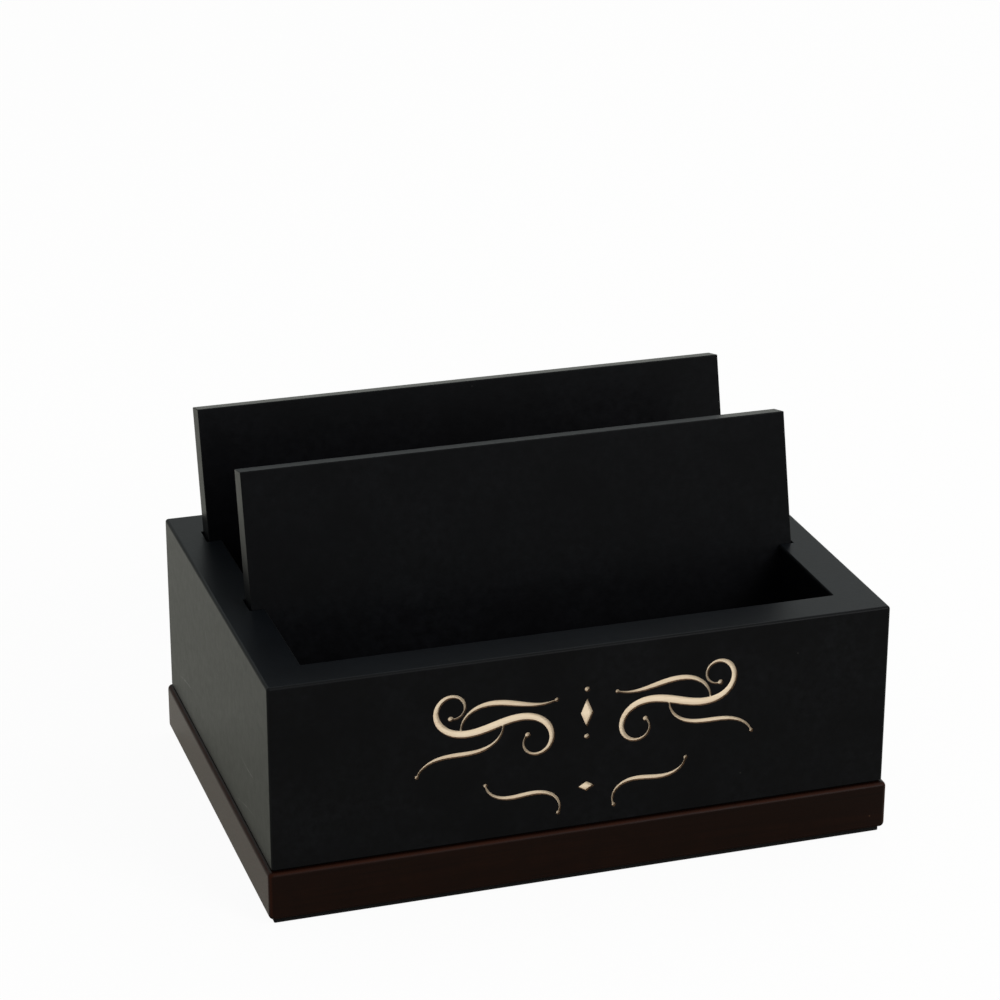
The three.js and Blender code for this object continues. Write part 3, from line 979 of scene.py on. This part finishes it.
@dataclass
class Tray:
    """Four black boards, butted together round two slots, on dowels."""

    board: float = 8.3 * MM
    outer_radius: float = 0.6 * MM
    rim_radius: float = 0.4 * MM
    foot_gap_height: float = 0.4 * MM
    foot_gap_depth: float = 0.5 * MM
    groove_depth: float = 3.1 * MM
    groove_clearance: float = 0.3 * MM
    groove_reach: float = 60 * MM
    dowel_radius: float = 1.6 * MM
    dowel_spare: float = 0.3 * MM
    screw_radius: float = 1.4 * MM
    engraving: Engraving = field(default_factory=Engraving)
    scratches: tuple[Scratch, ...] = (
        Scratch((-59.25, 15.9, -52.7), 71, (-59.25, 26, 17.4), 9),
        Scratch((-59.25, -24.5, 63), 40, (-59.25, -25, 23.6), 6.5),
        Scratch((-59.25, -41.2, -73.6), 90, (-59.25, -22, 14.2), 8.5, 0.16),
    )
    raw_wood: StainedWood = StainedWood(
        "raw_board",
        ground=(0.62, 0.44, 0.25),
        grain_colour=(0.36, 0.22, 0.11),
        band_colour=(0.5, 0.34, 0.18),
        roughness=(0.7, 0.8),
    )
    lacquer: BlackLacquer = BlackLacquer("black_lacquer_long")
    low: Vector = field(init=False)
    high: Vector = field(init=False)

    def __post_init__(self) -> None:
        """Reads the tray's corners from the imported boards."""
        self.low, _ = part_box("front_board")
        _, self.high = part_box("back_board")

    def _ring(self) -> BMesh:
        """Makes the four walls as one rounded ring.

        Returns:
            The ring.
        """
        mesh = box_mesh(self.low, self.high)
        caps = [face for face in mesh.faces if abs(face.normal.z) > LEVEL]
        for cap in caps:
            bmesh.ops.inset_region(mesh, faces=[cap], thickness=self.board, use_even_offset=True)
        loops = [edge for cap in caps for edge in cap.edges]
        bmesh.ops.delete(mesh, geom=caps, context="FACES_ONLY")
        bmesh.ops.bridge_loops(mesh, edges=loops)
        top = self.high - Vector((SLACK, SLACK, SLACK))
        outer = edges_at(mesh, lambda at: abs(at.x) > top.x or abs(at.y) > top.y)
        above_foot = [
            edge for edge in outer if max(vert.co.z for vert in edge.verts) > self.low.z + SLACK
        ]
        round_over(mesh, above_foot, self.outer_radius)
        wall = self.high - Vector((1, 1, 0)) * (self.board - SLACK)
        rim = edges_at(
            mesh, lambda at: at.z > top.z and abs(at.x) < wall.x and abs(at.y) < wall.y
        )
        round_over(mesh, rim, self.rim_radius)
        return mesh

    def _foot_gap_cutters(self, side: Side, material: Material) -> Iterator[Object]:
        """Makes the bars that cut a board back round its foot.

        Args:
            side: The board's side.
            material: The lacquer that the gap shows.

        Returns:
            The cutters, one after another.
        """
        across, along = side.value
        faces = [(0, along), (-1, 0), (1, 0)] if along else [(across, 0)]
        spare = Vector((MM, MM, MM))
        for x, y in faces:
            low, high = self.low - spare, self.high + spare
            high.z = self.low.z + self.foot_gap_height
            for part, sign in enumerate((x, y)):
                if sign < 0:
                    high[part] = self.low[part] + self.foot_gap_depth
                if sign > 0:
                    low[part] = self.high[part] - self.foot_gap_depth
            yield add_piece("foot_gap_cutter", box_mesh(low, high), [material])

    def _board(self, side: Side) -> BMesh:
        """Parts one board off the ring.

        Args:
            side: The board's side.

        Returns:
            The board.
        """
        mesh = self._ring()
        joint = self.high.y - self.board
        across, along = side.value
        if along:
            part_off(mesh, (0, along * joint, 0), (0, -along, 0))
            return mesh
        part_off(mesh, (0, joint, 0), (0, 1, 0))
        part_off(mesh, (0, -joint, 0), (0, -1, 0))
        far = [vert for vert in mesh.verts if vert.co.x * across < 0]
        bmesh.ops.delete(mesh, geom=far, context="VERTS")
        return mesh

    def _groove_cutters(self, across: int, material: Material) -> Iterator[Object]:
        """Makes the slanted slabs that cut the grooves of an end board.

        Args:
            across: 1 for the right end board, or -1 for the left one.
            material: The lacquer that the grooves show.

        Returns:
            The cutters, one after another.
        """
        inner = across * (self.high.x - self.board)
        for divider in (Body.FRONT_DIVIDER, Body.REAR_DIVIDER):
            foot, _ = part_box(divider.value)
            slab = box_mesh(
                (-self.groove_depth, -self.groove_clearance, -self.groove_reach),
                (self.groove_depth, DIVIDER_THICKNESS + self.groove_clearance, self.groove_reach),
            )
            place = Matrix.Translation((inner, foot.y, foot.z)) @ Matrix.Rotation(-LEAN, 4, "X")
            bmesh.ops.transform(slab, matrix=place, verts=slab.verts)
            yield add_piece("groove_cutter", slab, [material])

    def _holes(self, side: Side, material: Material) -> Iterator[Object]:
        """Makes the holes of one board's dowels and screws.

        Args:
            side: The board's side, which the names of its dowels and screws hold.
            material: What the holes show.

        Returns:
            The cutters, one after another.
        """
        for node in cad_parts:
            if f"_{side.name.lower()}" not in node:
                continue
            low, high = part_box(node)
            if node.startswith("dowel"):
                axis, radius = Axis.FRONT_TO_BACK, self.dowel_radius
                low[axis.value] -= self.dowel_spare
            elif side in (Side.FRONT, Side.BACK):
                axis, radius = Axis.UPRIGHT, self.screw_radius
            else:
                continue
            high[axis.value] += self.dowel_spare
            yield drill_bit(low, high, axis, (radius, radius), material)

    def build(self) -> None:
        """Builds and dresses the four boards."""
        ends = replace(self.lacquer, name="black_lacquer_end", grain=Axis.FRONT_TO_BACK)
        left = replace(ends, name="black_lacquer_scratched", scratches=self.scratches)
        raw = self.raw_wood.material()
        long_grain = self.lacquer.material()
        carved = [BareWood().material(), ScorchedEdge().material()]
        for side, name, lacquer in (
            (Side.FRONT, "front_board", long_grain),
            (Side.BACK, "back_board", long_grain),
            (Side.LEFT, "left_end_board", left.material()),
            (Side.RIGHT, "right_end_board", ends.material()),
        ):
            across, _ = side.value
            piece = add_piece(f"{name}_finished", self._board(side), [lacquer])
            carve(piece, self._foot_gap_cutters(side, lacquer))
            carve(piece, self._holes(side, raw))
            if across:
                carve(piece, self._groove_cutters(across, lacquer))
            if side is Side.FRONT:
                carve(piece, self.engraving.cutters(self.low.y, self.low.z, carved))
            shade_hard(piece)
            settle(piece, Body.TRAY, Slot.TRAY, [name])


@dataclass
class Divider:
    """A thin black board that leans back in the tray's grooves."""

    body: Body
    edge_radius: float = 0.2 * MM

    def build(self, material: Material) -> None:
        """Builds the divider upright, leans it and cuts its foot level.

        Args:
            material: The lacquer that it wears.
        """
        node = self.body.value
        low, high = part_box(node)
        rise = (high.z - low.z + SLACK) / math.cos(LEAN)
        spare = 2 * DIVIDER_THICKNESS
        mesh = box_mesh((low.x, 0, -spare), (high.x, DIVIDER_THICKNESS, rise))
        round_over(mesh, mesh.edges[:], self.edge_radius, segments=5)
        place = Matrix.Translation((0, low.y, low.z)) @ Matrix.Rotation(-LEAN, 4, "X")
        bmesh.ops.transform(mesh, matrix=place, verts=mesh.verts)
        part_off(mesh, (0, 0, low.z), (0, 0, -1))
        piece = add_piece(f"{node}_finished", mesh, [material])
        shade_hard(piece)
        settle(piece, self.body, Slot.DIVIDER, [node])


@dataclass
class Plinth:
    """The brown board under the tray, with eased edges, on a felt."""

    edge_radius: float = 1.0 * MM
    screw_hole: float = 1.4 * MM
    head_recess: float = 2.65 * MM
    head_depth: float = 0.3 * MM
    cone_depth: float = 1.25 * MM
    stain: StainedWood = StainedWood(
        "brown_stain",
        ground=(0.0050, 0.0014, 0.0006),
        grain_colour=(0.0026, 0.0008, 0.0004),
        band_colour=(0.0080, 0.0022, 0.0009),
        roughness=(0.28, 0.34),
        specular=0.051,
        # the lighter lip and edges are partly wear and partly a painted highlight
        rubbed_and_highlit=(0.0205, 0.0046, 0.0013),
        dust=(0.060, 0.030, 0.014),
    )
    # The ends are end grain, painted lighter than the rest as the sheen that they show at a grazing
    # angle.
    end_grain_and_sheen: StainedWood = replace(
        stain,
        name="brown_end_grain_and_sheen",
        ground=(0.0220, 0.0035, 0.0040),
        grain_colour=(0.0115, 0.0019, 0.0025),
        band_colour=(0.0280, 0.0048, 0.0050),
        specular=0.066,
        along_grain=1.0,
    )

    def _screw_hole(self, node: str, top: float, material: Material) -> Iterator[Object]:
        """Makes the recess, the countersink and the hole for one screw.

        Args:
            node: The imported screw.
            top: The height of the plinth's top.
            material: What the hole shows.

        Returns:
            The three cutters, from the bottom up.
        """
        low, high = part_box(node)
        levels = [
            (low.z - MM, self.head_recess, self.head_recess),
            (low.z + self.head_depth, self.head_recess, self.screw_hole),
            (low.z + self.head_depth + self.cone_depth, self.screw_hole, self.screw_hole),
            (top + MM, 0.0, 0.0),
        ]
        for (start, wide, narrow), (end, _, _) in zip(levels, levels[1:]):
            low.z, high.z = start, end
            yield drill_bit(low, high, Axis.UPRIGHT, (wide, narrow), material)

    def build(self) -> None:
        """Builds the plinth."""
        low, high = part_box("plinth")
        mesh = box_mesh(low, high)
        round_over(mesh, mesh.edges[:], self.edge_radius)
        finish = self.stain.material()
        plinth = add_piece("plinth_finished", mesh, [finish])
        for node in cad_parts:
            if node.startswith("plinth_screw"):
                carve(plinth, self._screw_hole(node, high.z, finish))
        # The ends take the end-grain material, whose lighter colour is a painted sheen.
        cover_ends(plinth, self.end_grain_and_sheen.material())
        shade_hard(plinth)
        settle(plinth, Body.TRAY, Slot.PLINTH, ["plinth"])


@dataclass
class Felt:
    """A thin felt, cut to a rectangle."""

    node: str
    rests_on: str = "plinth"
    softness: float = 0.25
    crease: float = 60.0

    def build(self, material: Material) -> None:
        """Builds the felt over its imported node, and softens its edges by a share of its thickness.

        Args:
            material: The felt's material.
        """
        low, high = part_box(self.node)
        mesh = box_mesh(low, high)
        round_over(mesh, mesh.edges[:], self.softness * (high.z - low.z), segments=2)
        piece = add_piece(f"{self.node}_finished", mesh, [material])
        shade_hard(piece, self.crease)
        settle(piece, Body.TRAY, Slot.FELT, [self.node])


@dataclass
class Fittings:
    """The dowels and screws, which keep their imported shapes."""

    beech: StainedWood = StainedWood(
        "beech_dowel",
        ground=(0.64, 0.45, 0.26),
        grain_colour=(0.4, 0.25, 0.13),
        band_colour=(0.56, 0.38, 0.2),
        roughness=(0.6, 0.75),
        grain=Axis.FRONT_TO_BACK,
    )
    zinc: ZincPlate = ZincPlate()

    def build(self) -> None:
        """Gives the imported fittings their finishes."""
        beech, zinc = self.beech.material(), self.zinc.material()
        for name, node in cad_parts.items():
            if name.startswith(("dowel", "plinth_screw")):
                finish = beech if name.startswith("dowel") else zinc
                node.material_slots[0].material = finish
                log.info("%s: %s", name, finish.name)


# The studio


@dataclass(frozen=True)
class Lamp:
    """A soft square lamp that faces the holder."""

    name: str
    place: Place
    size: float
    power: float
    colour: Colour = (1.0, 1.0, 1.0)
    aim: Place = (0.0, 0.0, 0.035)

    def hang(self) -> None:
        """Hangs the lamp and turns it to what it lights."""
        data = bpy.data.lights.new(self.name, "AREA")
        data.shape = "SQUARE"
        data.size = self.size
        data.energy = self.power
        data.color = self.colour
        lamp = bpy.data.objects.new(self.name, data)
        lamp.location = self.place
        away = Vector(self.aim) - Vector(self.place)
        lamp.rotation_euler = away.to_track_quat("-Z", "Y").to_euler()
        bpy.context.scene.collection.objects.link(lamp)


@dataclass
class Studio:
    """A pale floor, soft lamps and the camera."""

    eye: Place = (-0.17406, -0.52870, 0.28142)
    right: Place = (0.95179821, -0.3067194, 0.00183642)
    down: Place = (-0.11218749, -0.35369515, -0.92860848)
    ahead: Place = (0.28547177, 0.88364187, -0.37105649)
    lens: float = 113.956
    sensor: float = 36.0
    floor_size: float = 40.0
    floor_drop: float = 0.05 * MM
    floor_colour: Colour = (0.80, 0.79, 0.745)
    floor_fibre: Colour = (0.84, 0.83, 0.79)
    floor_fibre_size: float = 2 * MM
    white_share: float = 0.95
    gloss_share: float = 0.35
    floor_sheen: Colour = (0.97, 1.0, 0.80)
    room_sheen: Colour = (0.88, 0.94, 0.92)
    room: Colour = (0.54, 0.55, 0.57)
    lamps: tuple[Lamp, ...] = (
        Lamp("key_lamp", (0.55, -0.9, 0.65), 0.5, 8.3),
        Lamp("side_lamp", (0.5, 0.35, 0.8), 0.9, 2.7),
    )

    def build(self) -> None:
        """Sets up the camera, the lamps, the floor and the room."""
        scene = bpy.context.scene
        scene.view_settings.view_transform = "Standard"
        data = bpy.data.cameras.new("camera")
        data.lens = self.lens
        data.sensor_width = self.sensor
        camera = bpy.data.objects.new("camera", data)
        turn = Matrix((self.right, [-v for v in self.down], [-v for v in self.ahead])).transposed()
        camera.matrix_world = Matrix.Translation(self.eye) @ turn.to_4x4()
        scene.collection.objects.link(camera)
        scene.camera = camera
        for lamp in self.lamps:
            lamp.hang()
        self._floor()
        self._room()

    def _floor(self) -> None:
        """Lays the floor, which looks like white paper and keeps the holder's shadow.

        It is clear from below and open under the felt, so that the underside can be looked at.
        """
        mesh = bmesh.new()
        bmesh.ops.create_grid(mesh, x_segments=1, y_segments=1, size=self.floor_size / 2)
        low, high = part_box("base_felt")
        half = (high - low) / 2 - Vector((MM, MM, 0))
        under = Matrix.Translation((low + high) / 2) @ Matrix.Diagonal((half.x, half.y, 1, 1))
        bmesh.ops.create_grid(mesh, x_segments=1, y_segments=1, size=1.0, matrix=under)
        bmesh.ops.delete(mesh, geom=mesh.faces[:], context="FACES_ONLY")
        bmesh.ops.bridge_loops(mesh, edges=mesh.edges[:])
        for vert in mesh.verts:
            vert.co.z = -self.floor_drop
        for face in mesh.faces:
            face.normal_update()
            if face.normal.z < 0:
                face.normal_flip()
        shader = Shader("pale_floor")
        fibres = shader.span(shader.noise(self.floor_fibre_size, 3), NOISE_RANGE)
        colour = shader.blend(fibres, self.floor_colour, self.floor_fibre)
        paper = shader.add("BsdfDiffuse", Color=colour).outputs["BSDF"]
        share, colour = self._white_backdrop(
            shader, self.white_share, self.gloss_share, self.floor_sheen
        )
        white = shader.add("Emission", Color=colour).outputs["Emission"]
        clear = shader.add("BsdfTransparent").outputs["BSDF"]
        below = shader.add("NewGeometry").outputs["Backfacing"]
        shader.show(shader.layer(below, shader.layer(share, paper, white), clear))
        add_piece("floor", mesh, [shader.material], closed=False)

    def _room(self) -> None:
        """Fills the room with soft light, behind a white backdrop."""
        world = bpy.data.worlds.new("room")
        bpy.context.scene.world = world
        world.use_nodes = True
        nodes = NodeTree(world.node_tree)
        share, colour = self._white_backdrop(nodes, 1.0, 1.0, self.room_sheen)
        soft = nodes.add("Background", Color=(*self.room, 1.0)).outputs["Background"]
        white = nodes.add("Background", Color=colour).outputs["Background"]
        nodes.add("OutputWorld", Surface=nodes.layer(share, soft, white))

    def _white_backdrop(
        self, nodes: NodeTree, direct_share: float, gloss_share: float, sheen: Colour
    ) -> tuple[NodeSocket, NodeSocket]:
        """Tells how much of the white backdrop a ray sees, and in which white.

        Args:
            nodes: The node tree of the floor or the room.
            direct_share: The share for a camera or transmission ray.
            gloss_share: The share for a glossy ray.
            sheen: The white that a glossy ray sees.

        Returns:
            The share, which is 0 for any other ray, and the white.
        """
        rays = nodes.add("LightPath").outputs
        direct = nodes.maths("MAXIMUM", rays["Is Camera Ray"], rays["Is Transmission Ray"])
        direct = nodes.maths("MULTIPLY", direct, direct_share)
        glossy = nodes.maths("MULTIPLY", rays["Is Glossy Ray"], gloss_share)
        white = nodes.blend(rays["Is Glossy Ray"], (1.0, 1.0, 1.0), sheen)
        return nodes.maths("MAXIMUM", direct, glossy), white


def main() -> None:
    """Builds the studio and the holder."""
    logging.basicConfig(level=logging.INFO, format="%(name)s: %(message)s")
    Studio().build()
    Tray().build()
    lacquer = BlackLacquer("black_lacquer_divider", specular=0.041).material()
    for body in (Body.FRONT_DIVIDER, Body.REAR_DIVIDER):
        Divider(body).build(lacquer)
    Plinth().build()
    felt = BlackFelt().material()
    for node in ("card_slot_liner", "phone_slot_liner", "base_felt"):
        Felt(node).build(felt)
    Fittings().build()


if __name__ == "__main__":
    main()
